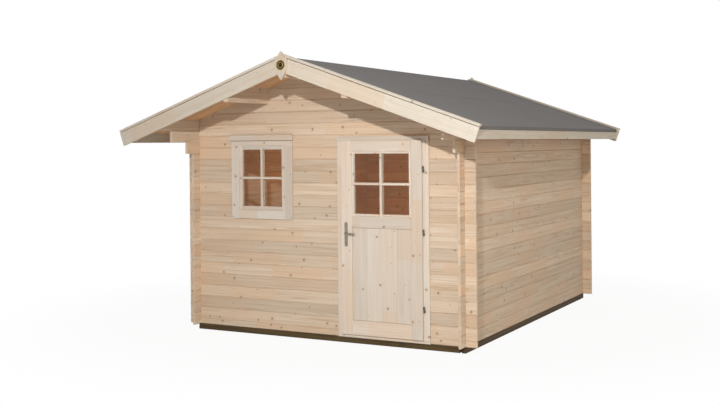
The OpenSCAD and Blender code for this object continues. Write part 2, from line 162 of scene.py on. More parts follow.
tree.links.new(matt.outputs[0], blend.inputs[1])
tree.links.new(glow.outputs[0], blend.inputs[2])
out = node(tree, "ShaderNodeOutputMaterial")
tree.links.new(blend.outputs[0], out.inputs[0])
mesh.materials.append(pale)


# ---- Base beams and joists ------------------------------------------------
# Rough-sawn beams, brown from pressure treatment, flat on the ground. The front
# and rear beams stop short at their right end; five joists lie between them.
BASE_TONES = random.Random(11)


def sawn(dice):
    """A random place in the tree: along it, beside its pith and away from it."""
    return Vector((dice.uniform(0, 40), dice.uniform(-0.10, 0.02), dice.uniform(0.015, 0.09)))


def board(into, low, high, along="x", chamfer=0.0, ends=0.0, cuts=(), place=None,
          corner=None, drift=None, tone=None, dice=None):
    """Adds one board to a bmesh: a box with its long edges chamfered, cut by planes.

    Its grain attribute is the place in the log it was sawn from: length, width, thickness."""
    low, high = Vector(low), Vector(high)
    size, middle = high - low, (high + low) / 2
    run = "xyz".index(along)
    sides = sorted((i for i in range(3) if i != run), key=lambda i: -size[i])
    order = (run, *sides)
    corner = low if corner is None else Vector(corner)
    one = bmesh.new()
    grain = one.verts.layers.float_vector.new("grain")
    shade = one.verts.layers.float.new("tone")
    bmesh.ops.create_cube(one, size=1.0)
    bmesh.ops.scale(one, vec=size, verts=one.verts)
    long_edges = [e for e in one.edges if abs((e.verts[0].co - e.verts[1].co)[run]) > size[run] * 0.9]
    if chamfer:
        bmesh.ops.bevel(one, geom=long_edges, offset=chamfer, offset_type="OFFSET", affect="EDGES",
                        segments=1, profile=0.5, material=-1)
    if ends:
        tips = [e for e in one.edges if abs((e.verts[0].co - e.verts[1].co)[run]) < 1e-6]
        bmesh.ops.bevel(one, geom=tips, offset=ends, offset_type="OFFSET", affect="EDGES",
                        segments=1, profile=0.5, material=-1)
    bmesh.ops.translate(one, vec=middle, verts=one.verts)
    if drift is None:
        drift = sawn(dice)
    if tone is None:
        tone = dice.random()
    for v in one.verts:
        v[grain] = Vector([v.co[i] - corner[i] for i in order]) + drift
        v[shade] = tone
    if place is not None:
        bmesh.ops.transform(one, matrix=place, verts=one.verts)
    for point, normal in cuts:
        cut = bmesh.ops.bisect_plane(one, geom=one.verts[:] + one.edges[:] + one.faces[:], dist=1e-6,
                                     plane_co=point, plane_no=normal, clear_outer=True)
        rim = [g for g in cut["geom_cut"] if isinstance(g, bmesh.types.BMEdge)]
        if rim:
            bmesh.ops.edgenet_fill(one, edges=rim)
    if one.faces:
        bmesh.ops.recalc_face_normals(one, faces=one.faces)
        scrap = bpy.data.meshes.new("scrap")
        one.to_mesh(scrap)
        into.from_mesh(scrap)
        bpy.data.meshes.remove(scrap)
    one.free()


def boards():
    """An empty bmesh with the attributes that the boards carry."""
    made = bmesh.new()
    made.verts.layers.float_vector.new("grain")
    made.verts.layers.float.new("tone")
    return made


def finished(name, made, material, body="cabin", replaces=(), smooth=False):
    """Turns a bmesh into a piece that rides on a body."""
    data = bpy.data.meshes.new(name)
    made.to_mesh(data)
    made.free()
    for mat in material if isinstance(material, list) else [material]:
        data.materials.append(mat)
    if smooth:
        data.polygons.foreach_set("use_smooth", [True] * len(data.polygons))
    piece = bpy.data.objects.new(name, data)
    scene.collection.objects.link(piece)
    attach(piece, body)
    if replaces:
        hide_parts(*replaces)
    return piece


def shader(name, roughness=0.6, metallic=0.0):
    """A new material and its principled shader, ready for its pattern."""
    made = bpy.data.materials.new(name)
    made.use_nodes = True
    bsdf = made.node_tree.nodes["Principled BSDF"]
    bsdf.inputs["Roughness"].default_value = roughness
    bsdf.inputs["Metallic"].default_value = metallic
    return made, made.node_tree, bsdf


def mapped(tree, source, scale):
    stretch = node(tree, "ShaderNodeMapping")
    stretch.inputs["Scale"].default_value = scale
    tree.links.new(source, stretch.inputs["Vector"])
    return stretch.outputs["Vector"]


def noise(tree, source, scale, detail=3.0, rough=0.5):
    made = node(tree, "ShaderNodeTexNoise")
    made.inputs["Scale"].default_value = scale
    made.inputs["Detail"].default_value = detail
    made.inputs["Roughness"].default_value = rough
    tree.links.new(source, made.inputs["Vector"])
    return made.outputs["Fac"]


def levels(tree, source, low, high, to_low=0.0, to_high=1.0):
    made = node(tree, "ShaderNodeMapRange", interpolation_type="SMOOTHSTEP")
    made.inputs["From Min"].default_value = low
    made.inputs["From Max"].default_value = high
    made.inputs["To Min"].default_value = to_low
    made.inputs["To Max"].default_value = to_high
    tree.links.new(source, made.inputs["Value"])
    return made.outputs[0]


def maths(tree, operation, a, b):
    made = node(tree, "ShaderNodeMath", operation=operation)
    for socket, value in zip(made.inputs, (a, b)):
        if isinstance(value, (int, float)):
            socket.default_value = value
        else:
            tree.links.new(value, socket)
    return made.outputs[0]


def mixed(tree, share, a, b, kind="MIX"):
    made = node(tree, "ShaderNodeMix", data_type="RGBA", blend_type=kind)
    for socket, value in ((made.inputs[0], share), (made.inputs[6], a), (made.inputs[7], b)):
        if isinstance(value, (int, float)):
            socket.default_value = value
        elif isinstance(value, tuple):
            socket.default_value = (*value, 1)
        else:
            tree.links.new(value, socket)
    return made.outputs[2]


def bumped(tree, bsdf, height, strength, distance):
    made = node(tree, "ShaderNodeBump")
    made.inputs["Strength"].default_value = strength
    made.inputs["Distance"].default_value = distance
    tree.links.new(height, made.inputs["Height"])
    tree.links.new(made.outputs[0], bsdf.inputs["Normal"])


def timber(name, early, late, knots=0.4, contrast=0.5, spread=0.2, roughness=0.62, bump=0.35):
    """Sawn softwood: year rings, fibres, knots and a tone of its own for each board."""
    made, tree, bsdf = shader(name, roughness)
    grain = node(tree, "ShaderNodeAttribute", attribute_name="grain").outputs["Vector"]
    tone = node(tree, "ShaderNodeAttribute", attribute_name="tone").outputs["Fac"]
    # year rings round a pith that wanders along the board
    sway = noise(tree, mapped(tree, grain, (1.1, 6.0, 6.0)), 1.0, 2.0)
    parts = node(tree, "ShaderNodeSeparateXYZ")
    tree.links.new(grain, parts.inputs[0])
    square = maths(tree, "ADD", maths(tree, "MULTIPLY", parts.outputs[1], parts.outputs[1]),
                   maths(tree, "MULTIPLY", parts.outputs[2], parts.outputs[2]))
    radius = maths(tree, "ADD", maths(tree, "SQRT", square, 0.0), maths(tree, "MULTIPLY", sway, 0.045))
    ring = maths(tree, "PINGPONG", maths(tree, "MULTIPLY", radius, 210.0), 1.0)
    rings = levels(tree, ring, 0.45, 1.0)
    streaks = levels(tree, noise(tree, mapped(tree, grain, (0.9, 26.0, 26.0)), 1.0, 3.0), 0.3, 0.72)
    fibres = noise(tree, mapped(tree, grain, (9.0, 420.0, 420.0)), 1.0, 2.0)
    dark = maths(tree, "ADD", maths(tree, "MULTIPLY", rings, 0.42), maths(tree, "MULTIPLY", streaks, 0.58))
    thin = levels(tree, noise(tree, mapped(tree, grain, (1.6, 95.0, 95.0)), 1.0, 4.0, 0.6), 0.46, 0.70)
    dark = maths(tree, "ADD", maths(tree, "MULTIPLY", dark, contrast), maths(tree, "MULTIPLY", thin, contrast * 0.55))
    colour = mixed(tree, dark, early, late)
    # lengths glued end to end, each of its own tone and some of them redder
    length = maths(tree, "FLOOR", maths(tree, "MULTIPLY", parts.outputs[0], 1.7), 0.0)
    block = node(tree, "ShaderNodeTexWhiteNoise", noise_dimensions="1D")
    tree.links.new(length, block.inputs["W"])
    redder = tuple(c * k for c, k in zip(early, (0.95, 0.80, 0.68)))
    colour = mixed(tree, levels(tree, block.outputs["Value"], 0.25, 1.0, 0.0, 0.62), colour, redder)
    # knots, each with a darker rim, in some of the cells of a regular scatter
    cells = node(tree, "ShaderNodeTexVoronoi", feature="F1", voronoi_dimensions="2D")
    cells.inputs["Scale"].default_value = 6.5
    tree.links.new(grain, cells.inputs["Vector"])
    pick = node(tree, "ShaderNodeSeparateColor")
    tree.links.new(cells.outputs["Color"], pick.inputs[0])
    chosen = levels(tree, pick.outputs[0], 1.0 - knots, 1.0 - knots + 0.02)
    width = levels(tree, pick.outputs[1], 0.0, 1.0, 0.020, 0.075)
    near = maths(tree, "DIVIDE", cells.outputs["Distance"], width)
    knot = maths(tree, "MULTIPLY", levels(tree, near, 1.15, 0.85), chosen)
    halo = maths(tree, "MULTIPLY", levels(tree, near, 3.2, 1.0), chosen)
    colour = mixed(tree, maths(tree, "MULTIPLY", halo, 0.30), colour, late)
    bark = tuple(c * k for c, k in zip(late, (0.50, 0.36, 0.28)))
    colour = mixed(tree, maths(tree, "MULTIPLY", knot, 0.72), colour, bark)
    shade = levels(tree, tone, 0.0, 1.0, 1.0 - spread, 1.0 + spread * 0.35)
    grey = node(tree, "ShaderNodeCombineColor")
    for socket in grey.inputs[:3]:
        tree.links.new(shade, socket)
    colour = mixed(tree, 1.0, colour, grey.outputs[0], "MULTIPLY")
    tree.links.new(colour, bsdf.inputs["Base Color"])
    tree.links.new(levels(tree, fibres, 0.2, 0.8, roughness - 0.10, roughness + 0.12), bsdf.inputs["Roughness"])
    bumped(tree, bsdf, maths(tree, "ADD", fibres, maths(tree, "MULTIPLY", rings, 0.6)), bump, 0.0006)
    return made


treated = timber("treated_timber", (0.120, 0.078, 0.026), (0.046, 0.030, 0.011), knots=0.2, contrast=0.9,
                 spread=0.35, roughness=0.85, bump=0.8)
for beam, run in (("base_beam_front", "x"), ("base_beam_rear", "x"), ("base_beam_left", "y"), ("base_beam_right", "y")):
    bm = boards()
    board(bm, *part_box(beam), along=run, chamfer=0.002, ends=0.001, dice=BASE_TONES)
    finished(beam + "_sawn", bm, treated, replaces=[beam])

JOISTS = 5
JOIST_W = 0.044
low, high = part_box("floor_joists")
bm = boards()
for i in range(JOISTS):
    x = low.x + (high.x - low.x - JOIST_W) * i / (JOISTS - 1)
    board(bm, (x, low.y, low.z), (x + JOIST_W, high.y, high.z), along="y", chamfer=0.002, dice=BASE_TONES)
finished("floor_joists_sawn", bm, treated, replaces=["floor_joists"])


# ---- Floor ----------------------------------------------------------------
# Planed spruce floor boards, tongued and grooved, nailed across the joists.
FLOOR_BOARD_W = 0.105
FLOOR_TONES = random.Random(12)
floor_wood = timber("floor_wood", (0.62, 0.43, 0.26), (0.42, 0.24, 0.12), knots=0.35, spread=0.22, roughness=0.5)
low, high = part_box("floor_boards")
count = round((high.y - low.y) / FLOOR_BOARD_W)
pitch_y = (high.y - low.y) / count
bm = boards()
for i in range(count):
    y = low.y + i * pitch_y
    board(bm, (low.x, y, low.z), (high.x, y + pitch_y - 0.0006, high.z), along="x", chamfer=0.0015, dice=FLOOR_TONES)
finished("floor_planks", bm, floor_wood, replaces=["floor_boards"])


# ---- Side walls -----------------------------------------------------------
# Log boards 28 mm thick, tongued and grooved, each covering 118 mm with a V at
# every joint. They run past the corners; the two under the bevelled top board
# step out in front, and the top board itself carries the front of the roof.
COURSE = 0.118
V_CUT = 0.007
STEP_SHORT = 0.205
STEP_LONG = 0.455
PITCH = math.radians(19.3)
base_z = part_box("right_wall")[0].z
side_in, side_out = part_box("right_wall")[0].x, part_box("right_wall")[1].x
roof_front, roof_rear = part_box("roof_boards_right")[0].y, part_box("roof_boards_right")[1].y
roof_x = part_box("roof_boards_right")[1].x
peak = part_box("roof_boards_right")[0].z + roof_x * math.tan(PITCH)
front_y, front_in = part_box("front_gable")[0].y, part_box("front_gable")[1].y
rear_in, rear_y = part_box("rear_wall")[0].y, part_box("rear_wall")[1].y
log_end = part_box("corner_log_ends")[1].x - side_out
RIGHT_SLOPE = Vector((math.sin(PITCH), 0, math.cos(PITCH)))
LEFT_SLOPE = Vector((-math.sin(PITCH), 0, math.cos(PITCH)))
RIDGE = Vector((0, 0, peak))
under_roof = ((RIDGE, RIGHT_SLOPE), (RIDGE, LEFT_SLOPE))
courses = int((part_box("right_wall")[1].z - 0.05 - base_z) / COURSE)

log_wood = timber("log_wood", (0.775, 0.66, 0.53), (0.575, 0.405, 0.255), knots=0.50, contrast=0.74, spread=0.12)
for side, name in ((-1, "left_wall"), (1, "right_wall")):
    dice = random.Random(20 + side)
    bm = boards()
    for k in range(courses + 1):
        out = log_end
        if k == courses - 2:
            out = STEP_SHORT
        if k == courses - 1:
            out = STEP_LONG
        start = roof_front if k == courses else front_y - out
        top = peak if k == courses else base_z + (k + 1) * COURSE
        x0, x1 = sorted((side * side_in, side * side_out))
        board(bm, (x0, start, base_z + k * COURSE), (x1, roof_rear, top), along="y", chamfer=V_CUT,
              ends=0.0012, cuts=under_roof, dice=dice)
    finished(name + "_logs", bm, log_wood, replaces=[name])


# ---- Front and rear walls -------------------------------------------------
# The same log boards across the house, half a course out of step with the side
# walls, so they start with a half board. Their ends show outside the corners,
# and the gables are sawn to the roof's pitch.
LINING = 0.02
JAMB = 0.027
sash_low, sash_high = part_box("window_sash")
jamb_left, jamb_right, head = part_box("door_jamb_left"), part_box("door_jamb_right"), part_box("door_head")
sill_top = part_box("door_threshold")[1].z
window_hole = (sash_low.x - LINING, sash_high.x + LINING, sash_low.z - LINING, sash_high.z + LINING)
door_hole = (jamb_left[1].x - JAMB, jamb_right[0].x + JAMB, base_z, head[0].z + JAMB)
sill_hole = (jamb_left[0].x, jamb_right[1].x, base_z, sill_top)


def pieces_left(x0, x1, z0, z1, holes):
    """Splits one course where holes are cut in it, into boxes (x0, x1, z0, z1)."""
    marks = sorted({x0, x1, *(x for hole in holes for x in hole[:2] if x0 < x < x1)})
    for a, b in zip(marks, marks[1:]):
        low_z, high_z = z0, z1
        for hole in holes:
            if hole[0] <= a + 1e-6 and hole[1] >= b - 1e-6:
                if hole[2] <= low_z + 1e-6 and hole[3] > low_z:
                    low_z = min(high_z, hole[3])
                elif hole[3] >= high_z - 1e-6 and hole[2] < high_z:
                    high_z = max(low_z, hole[2])
        if high_z - low_z > 0.002:
            yield a, b, low_z, high_z


corner_logs = boards()
for name, y0, y1, holes, seed in (
    ("front_wall", front_y, front_in, (window_hole, door_hole, sill_hole), 31),
    ("rear_wall", rear_in, rear_y, (), 32),
):
    dice = random.Random(seed)
    bm = boards()
    z = base_z
    top = base_z + COURSE / 2
    while z < peak:
        drift = sawn(dice)
        tone = dice.random()
        corner = (-side_in, y0, z)
        for a, b, low_z, high_z in pieces_left(-side_in, side_in, z, top, holes):
            board(bm, (a, y0, low_z), (b, y1, high_z), along="x", chamfer=V_CUT, cuts=under_roof,
                  corner=corner, drift=drift, tone=tone)
        for side in (-1, 1):
            x0, x1 = sorted((side * side_out, side * (side_out + log_end)))
            if z < peak - (side_out + log_end) * math.tan(PITCH):
                board(corner_logs, (x0, y0, z), (x1, y1, top), along="x", chamfer=V_CUT, ends=0.0012,
                      cuts=under_roof, corner=corner, drift=drift, tone=tone)
        z, top = top, top + COURSE
    nodes = [name] if name == "rear_wall" else ["front_wall_window_side", "front_wall_hinge_side", "front_gable"]
    finished(name + "_logs", bm, log_wood, replaces=nodes)
finished("corner_logs", corner_logs, log_wood, replaces=["corner_log_ends"])


# ---- Purlins --------------------------------------------------------------
# Three planed purlins laid through notches in the gables, bevelled on top.
# Roof-board spruce, the same timber as the wall logs but coloured darker and warmer: painted shade, as these boards are
# seen mostly from below, under the roof.
roof_wood_painted_shade = timber("roof_wood_painted_shade", (0.72, 0.47, 0.27), (0.52, 0.29, 0.13), knots=0.45, spread=0.22)
dice = random.Random(41)
for name in ("ridge_purlin", "purlin_left", "purlin_right"):
    low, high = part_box(name)
    bm = boards()
    board(bm, low, (high.x, high.y, high.z + 0.02), along="y", chamfer=0.002, cuts=under_roof, dice=dice)
    finished(name + "_planed", bm, log_wood, replaces=[name])


# ---- Roof boards ----------------------------------------------------------
# Tongued and grooved boards nailed from the ridge down to the eaves; their
# undersides show as the ceiling and under the overhangs, with a V at each joint.
ROOF_BOARD_W = 0.101
roof_t = (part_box("roof_boards_right")[1].z - peak) * math.cos(PITCH)
PLUMB_OUT = (Vector((roof_x, 0, 0)), Vector((1, 0, 0)))


def slope_place(side):
    """Frame of a slope: x down the slope, z square to it, origin at the ridge's underside."""
    down = Vector((side * math.cos(PITCH), 0, -math.sin(PITCH)))
    up = Vector((side * math.sin(PITCH), 0, math.cos(PITCH)))
    place = Matrix((down, up.cross(down), up)).transposed().to_4x4()
    place.translation = RIDGE
    return place


def plumb(side, x, outwards=1):
    """A cutting plane upright across the slope at distance x from the ridge."""
    return Vector((side * x, 0, 0)), Vector((side * outwards, 0, 0))


for side, name in ((-1, "roof_boards_left"), (1, "roof_boards_right")):
    dice = random.Random(50 + side)
    bm = boards()
    count = round((roof_rear - roof_front) / ROOF_BOARD_W)
    width = (roof_rear - roof_front) / count
    across = -side
    for i in range(count):
        a = roof_front + i * width
        y0, y1 = sorted((side * a, side * (a + width)))
        board(bm, (-0.05, y0, 0), (roof_x / math.cos(PITCH) + 0.02, y1, roof_t), along="x", chamfer=0.003,
              place=slope_place(side), cuts=(plumb(side, roof_x), plumb(side, 0, -1)), dice=dice)
    finished(name + "_laid", bm, roof_wood_painted_shade, replaces=[name])


# ---- Eaves boards ---------------------------------------------------------
# One long board a side, nailed to the ends of the roof boards.
EAVES_T = 0.02
trim_wood = timber("trim_wood", (0.715, 0.665, 0.575), (0.585, 0.475, 0.355), knots=0.30, contrast=0.55, spread=0.10)
low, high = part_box("eaves_boards")
roof_top = Vector((0, 0, peak + roof_t / math.cos(PITCH)))
bm = boards()
dice = random.Random(61)
for side, slope in ((-1, LEFT_SLOPE), (1, RIGHT_SLOPE)):
    x0, x1 = sorted((side * roof_x, side * (roof_x + EAVES_T)))
    board(bm, (x0, low.y, low.z), (x1, high.y, high.z + 0.02), along="y", chamfer=0.002,
          cuts=((roof_top, slope),), dice=dice)
finished("eaves_boards_planed", bm, trim_wood, replaces=["eaves_boards"])


# ---- Roofing felt ---------------------------------------------------------
# Mineral-surfaced bitumen felt: two rolls a side laid along the house, lapped
# down the slope and nailed there, folded over the eaves board, with a capping
# roll on the ridge.
FELT_T = 0.0024
FELT_LAP = 0.08
CAP_REACH = 0.16
ROLLS = (0.0, 0.0010, 0.0016)
NAILS = 40
NAIL_R = 0.0032


def nails(name, places, across, depth, material, body="cabin", radius=NAIL_R):
    """Round heads let into a face: short tapered discs that stand out along an axis."""
    made = bmesh.new()
    for place in places:
        head = bmesh.new()
        bmesh.ops.create_cone(head, cap_ends=True, segments=12, radius1=radius, radius2=radius * 0.8, depth=depth)
        turn = across.to_track_quat("Z", "Y").to_matrix().to_4x4()
        bmesh.ops.transform(head, matrix=Matrix.Translation(place) @ turn, verts=head.verts)
        scrap = bpy.data.meshes.new("scrap")
        head.to_mesh(scrap)
        head.free()
        made.from_mesh(scrap)
        bpy.data.meshes.remove(scrap)
    return finished(name, made, material, body=body)


def metal(name, colour, roughness, worn=0.12, metallic=1.0):
    """Metal with fine wear: blotches in its colour and gloss over a hammered grain."""
    made, tree, bsdf = shader(name, roughness, metallic)
    place = node(tree, "ShaderNodeTexCoord").outputs["Object"]
    blotch = noise(tree, place, 60.0, 4.0, 0.6)
    fine = noise(tree, place, 900.0, 2.0)
    dull = tuple(c * 0.6 for c in colour)
    tree.links.new(mixed(tree, levels(tree, blotch, 0.35, 0.75), colour, dull), bsdf.inputs["Base Color"])
    gloss = levels(tree, blotch, 0.3, 0.8, roughness - worn, roughness + worn)
    tree.links.new(gloss, bsdf.inputs["Roughness"])
    bumped(tree, bsdf, fine, 0.15, 0.0003)
    return made


clout_steel = metal("clout_steel", (0.22, 0.21, 0.20), 0.5)
made, tree, bsdf = shader("roofing_felt", 0.92)
place = node(tree, "ShaderNodeTexCoord").outputs["Object"]
grit = noise(tree, place, 900.0, 2.0, 0.7)
patch = noise(tree, place, 2.2, 4.0, 0.6)
colour = mixed(tree, levels(tree, grit, 0.3, 0.7), (0.120, 0.114, 0.115), (0.210, 0.198, 0.197))
colour = mixed(tree, levels(tree, patch, 0.35, 0.7, 0.0, 0.35), colour, (0.20, 0.19, 0.185))
tree.links.new(colour, bsdf.inputs["Base Color"])
bumped(tree, bsdf, grit, 0.6, 0.0012)
felt_grey = made

felt_low, felt_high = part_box("roof_felt_right")
slope_l = (roof_x + EAVES_T) / math.cos(PITCH)
for side, name in ((-1, "roof_felt_left"), (1, "roof_felt_right")):
    dice = random.Random(70 + side)
    bm = boards()
    half = slope_l / 2
    reach = ((half - FELT_LAP, slope_l + 0.004), (-0.02, half), (-0.02, CAP_REACH))
    y0, y1 = sorted((side * roof_front, side * roof_rear))
    for (start, stop), lift in zip(reach, ROLLS):
        board(bm, (start, y0, roof_t + lift), (stop, y1, roof_t + lift + FELT_T), along="y",
              place=slope_place(side), cuts=(plumb(side, 0, -1), plumb(side, felt_high.x)), dice=dice)
    x0, x1 = sorted((side * felt_high.x, side * (felt_high.x - 0.0036)))
    edge_top = peak + (roof_t + FELT_T) / math.cos(PITCH) - (roof_x + EAVES_T) * math.tan(PITCH)
    board(bm, (x0, roof_front, felt_low.z), (x1, roof_rear, edge_top), along="y", chamfer=0.0008, dice=dice)
    finished(name + "_rolls", bm, felt_grey, replaces=[name])
    heads = []
    for i in range(NAILS):
        y = roof_front + 0.08 + i * (roof_rear - roof_front - 0.16) / (NAILS - 1)
        heads.append(slope_place(side) @ Vector((half - 0.02, 0, roof_t + FELT_T + 0.0012)) + Vector((0, y, 0)))
    normal = RIGHT_SLOPE if side > 0 else LEFT_SLOPE
    nails(name + "_clouts", heads, normal, 0.0006, clout_steel, radius=0.005)


# ---- Bargeboards and cover strips -----------------------------------------
# Planed boards nailed to the ends of the roof, mitred at the ridge and cut
# square at the eaves. A strip on top covers the edge of the felt.
BARGE_D = 0.14
BARGE_LIP = 0.03
EDGE = 0.0025
STRIP_EDGE = 0.0045
SHADOW_GAP = 0.005
felt_v = roof_t + 0.004
barge_u = slope_l + BARGE_LIP
nail_steel = metal("nail_steel", (0.30, 0.28, 0.26), 0.45)
for end in ("front", "rear"):
    dice = random.Random(81 if end == "front" else 82)
    for side, hand in ((-1, "left"), (1, "right")):
        name = "bargeboard_%s_%s" % (end, hand)
        low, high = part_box(name)
        y0, y1 = sorted((side * low.y, side * high.y))
        bm = boards()
        board(bm, (-0.2, y0, felt_v - BARGE_D), (barge_u, y1, felt_v - SHADOW_GAP), along="x", chamfer=EDGE, ends=0.0015,
              place=slope_place(side), cuts=(plumb(side, 0, -1),), dice=dice)
        finished(name + "_planed", bm, trim_wood, replaces=[name])
        outside = low.y if end == "front" else high.y
        heads = []
        for i in range(5):
            for drop in (0.03, 0.105):
                u = 0.14 + i * (barge_u - 0.22) / 4
                heads.append(slope_place(side) @ Vector((u, 0, felt_v - drop)) + Vector((0, outside, 0)))
        facing = Vector((0, -1 if end == "front" else 1, 0))
        nails("nails_%s_%s" % (end, hand), heads, facing, 0.0008, nail_steel)
    name = "cover_strips_" + end
    low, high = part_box(name)
    bm = boards()
    for side in (-1, 1):
        y0, y1 = sorted((side * low.y, side * high.y))
        board(bm, (-0.1, y0, felt_v), (barge_u, y1, felt_v + 0.024), along="x", chamfer=STRIP_EDGE, ends=0.0015,
              place=slope_place(side), cuts=(plumb(side, 0.0001, -1),), dice=dice)
    finished(name + "_planed", bm, trim_wood, replaces=[name])


# ---- Finials and badge ----------------------------------------------------
# Pointed plates screwed over the mitres, front and rear. The front one carries
# a plain brown enamelled disc with a raised brass rim.
SHOULDER = 0.28
WAIST = 0.65
low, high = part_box("finials")
plate_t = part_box("bargeboard_front_left")[0].y - low.y
half, tall = high.x, high.z - low.z
steep_up = Vector((tall * SHOULDER, 0, half)).normalized()
steep_down = Vector((tall * (1 - WAIST), 0, -half)).normalized()
tips = []
for point, slant in (((0, 0, high.z), steep_up), ((0, 0, low.z), steep_down)):
    tips.append((Vector(point), slant))
    tips.append((Vector(point), Vector((-slant.x, 0, slant.z))))
dice = random.Random(91)
bm = boards()
for y in (low.y, high.y - plate_t):
    board(bm, (-half, y, low.z), (half, y + plate_t, high.z), along="z", chamfer=EDGE, cuts=tips, dice=dice)
finished("finials_planed", bm, trim_wood, replaces=["finials"])


def turned(profile, steps=48):
    """A piece turned on +Z: its outline, as (radius, height) pairs, spun round the axis."""
    made = bmesh.new()
    points = [made.verts.new((r, 0, z)) for r, z in profile]
    line = [made.edges.new(pair) for pair in zip(points, points[1:])]
    bmesh.ops.spin(made, geom=points + line, cent=(0, 0, 0), axis=(0, 0, 1), angle=math.tau,
                   steps=steps, use_merge=True, dvec=(0, 0, 0))
    bmesh.ops.remove_doubles(made, verts=made.verts, dist=1e-6)
    bmesh.ops.recalc_face_normals(made, faces=made.faces)
    return made


def set_at(made, place, facing):
    turn = Vector(facing).to_track_quat("Z", "Y").to_matrix().to_4x4()
    bmesh.ops.transform(made, matrix=Matrix.Translation(place) @ turn, verts=made.verts)
    return made


brass = metal("badge_brass", (0.62, 0.43, 0.17), 0.36)
enamel = metal("badge_enamel", (0.030, 0.018, 0.008), 0.62, metallic=0.0)
enamel.node_tree.nodes["Principled BSDF"].inputs["Specular IOR Level"].default_value = 0.2
low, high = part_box("finial_badge")
disc_r = (high.x - low.x) / 2
RIM_W = 0.007
FIELD_T = 0.003
thick = high.y - low.y
bm = turned([(0, FIELD_T), (0.024, FIELD_T), (0.025, FIELD_T + 0.0006), (0.027, FIELD_T + 0.0006),
             (0.028, FIELD_T), (disc_r - RIM_W, FIELD_T), (disc_r - RIM_W + 0.001, thick),
             (disc_r - 0.0015, thick), (disc_r, thick - 0.0015), (disc_r, 0), (0, 0)])
for face in bm.faces:
    middle = face.calc_center_median()
    reach = Vector((middle.x, middle.y)).length
    face.material_index = 0 if reach > disc_r - RIM_W or 0.0242 < reach < 0.0278 else 1
set_at(bm, (0, high.y, (low.z + high.z) / 2), (0, -1, 0))
finished("badge_disc", bm, [brass, enamel], replaces=["finial_badge"])


# ---- Window frame ---------------------------------------------------------
# A planed frame that lines the hole in the logs, with a flat casing on each
# side of the wall. The outer casing's head runs across over the two uprights,
# and a bevelled cap above it throws the rain off.
window_wood = timber("window_wood", (0.72, 0.665, 0.59), (0.58, 0.48, 0.38), knots=0.20, contrast=0.45, spread=0.10,
                     roughness=0.5)
WINDOW_EDGE = 0.002
GROOVE = 0.007
casing_low, casing_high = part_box("window_casing")
lining_low, lining_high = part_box("window_lining")


def ringed(into, low, high, width, dice, over=(False, False), chamfer=0.002):
    """Four boards round an opening: uprights, and rails between them or over their ends."""
    foot = low[2] + (width if over[0] else 0)
    top = high[2] - (width if over[1] else 0)
    for x in (low[0], high[0] - width):
        board(into, (x, low[1], foot), (x + width, high[1], top), along="z", chamfer=chamfer, dice=dice)
    for z, past in ((low[2], over[0]), (high[2] - width, over[1])):
        inset = 0 if past else width
        board(into, (low[0] + inset, low[1], z), (high[0] - inset, high[1], z + width), along="x",
              chamfer=chamfer, dice=dice)


dice = random.Random(101)
casing_w = window_hole[0] + LINING - casing_low.x
bm = boards()
cap_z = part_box("window_drip_cap")[0].z
head_z = casing_high.z - casing_w
for x in (casing_low.x, casing_high.x - casing_w):
    board(bm, (x, casing_low.y, casing_low.z), (x + casing_w, casing_high.y, head_z - 0.0008), along="z",
          chamfer=WINDOW_EDGE, dice=dice)
board(bm, (casing_low.x + casing_w, casing_low.y, casing_low.z),
      (casing_high.x - casing_w, casing_high.y, casing_low.z + casing_w), along="x", chamfer=WINDOW_EDGE, dice=dice)
drift, tone = sawn(dice), dice.random()
for z0, z1, back in ((head_z, cap_z - GROOVE, 0), (cap_z - GROOVE, cap_z, 0.012), (cap_z, casing_high.z, 0)):
    board(bm, (casing_low.x, casing_low.y + back, z0), (casing_high.x, casing_high.y, z1), along="x",
          corner=(casing_low.x, casing_low.y, head_z), drift=drift, tone=tone)
finished("window_casing_planed", bm, window_wood, replaces=["window_casing"])
bm = boards()
ringed(bm, (window_hole[0], lining_low.y, window_hole[2]), (window_hole[1], lining_high.y, window_hole[3]),
       LINING, dice)
ringed(bm, (lining_low.x, front_in, lining_low.z), lining_high, casing_w - LINING, dice, over=(False, True))
finished("window_lining_planed", bm, window_wood, replaces=["window_lining"])
low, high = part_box("window_drip_cap")
CAP_FRONT_DROP = 0.012
bevel = Vector((0, -CAP_FRONT_DROP, high.y - low.y)).normalized()
bm = boards()
board(bm, low, high, along="x", chamfer=WINDOW_EDGE, ends=0.001,
      cuts=((Vector((0, high.y, high.z)), bevel),), dice=dice)
finished("window_cap_planed", bm, window_wood, replaces=["window_drip_cap"])
FIX_IN = 0.020
fixings = [(x, casing_low.y, casing_low.z + FIX_IN) for x in (casing_low.x + FIX_IN, casing_high.x - FIX_IN)]
fixings += [(x, casing_low.y, casing_low.z + 0.45) for x in (casing_low.x + FIX_IN, casing_high.x - FIX_IN)]
nails("window_screws", fixings, Vector((0, -1, 0)), 0.0012, nail_steel, radius=0.0055)


# ---- Window sash ----------------------------------------------------------
# A square sash with one pane. A cross of slim bars lies on it outside and
# inside, its ends lapping the sash, so that it looks like four panes.
BAR_W = 0.024
BAR_T = 0.007
BAR_LAP = 0.030
STILE = 0.04


